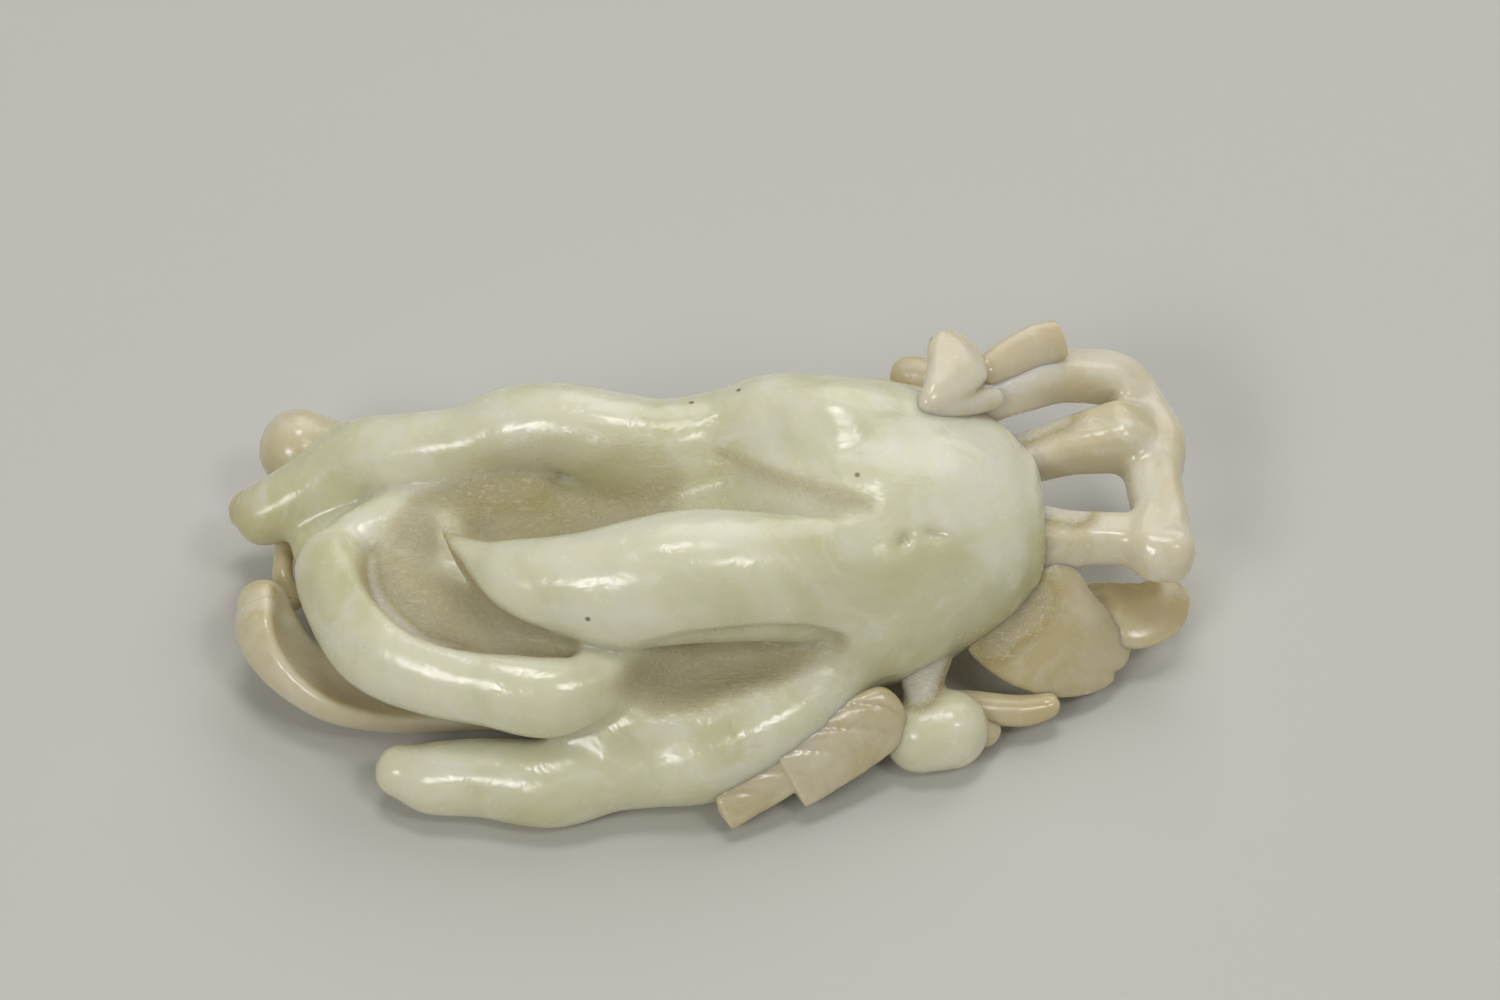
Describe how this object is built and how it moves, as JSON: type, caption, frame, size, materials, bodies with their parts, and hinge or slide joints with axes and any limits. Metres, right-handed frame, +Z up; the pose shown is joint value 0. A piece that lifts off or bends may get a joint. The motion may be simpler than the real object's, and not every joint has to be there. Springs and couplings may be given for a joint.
{
  "type": "carved jade buddhas hand citron",
  "caption": "Pale jade carving of a fingered citron lying on its side, with long curling fingers, a pierced branch, curled leaves and a small fruitlet.",
  "frame": {"origin": "centre of the footprint, on the surface the carving lies on", "axes": "+X along the carving from the fingertips to the branch, +Y toward its far side, +Z up"},
  "size_m": [0.106, 0.0524, 0.0332],
  "materials": {
    "pale_jade": "polished pale celadon nephrite, slightly translucent",
    "warm_jade": "polished nephrite with a warmer cream tone in the thin carved parts",
    "rough_jade": "the same nephrite left finely ground and unpolished in the recess"
  },
  "bodies": {
    "root": {"fruit_body": "pale_jade", "palm": "rough_jade", "centre_finger": "pale_jade", "far_finger": "pale_jade", "curled_finger": "pale_jade", "near_finger": "pale_jade", "under_near_finger": "warm_jade", "under_far_finger": "warm_jade", "under_middle_finger": "warm_jade", "branch": "warm_jade", "upper_strut": "warm_jade", "lower_strut": "warm_jade", "fruitlet": "pale_jade", "stalk": "warm_jade", "front_leaf": "warm_jade", "back_lobe": "warm_jade", "small_leaf": "warm_jade", "sepal": "warm_jade", "serrated_leaf": "warm_jade", "folded_leaf": "warm_jade", "pointed_leaf": "warm_jade", "hidden_leaf": "warm_jade"}
  },
  "joints": []
}
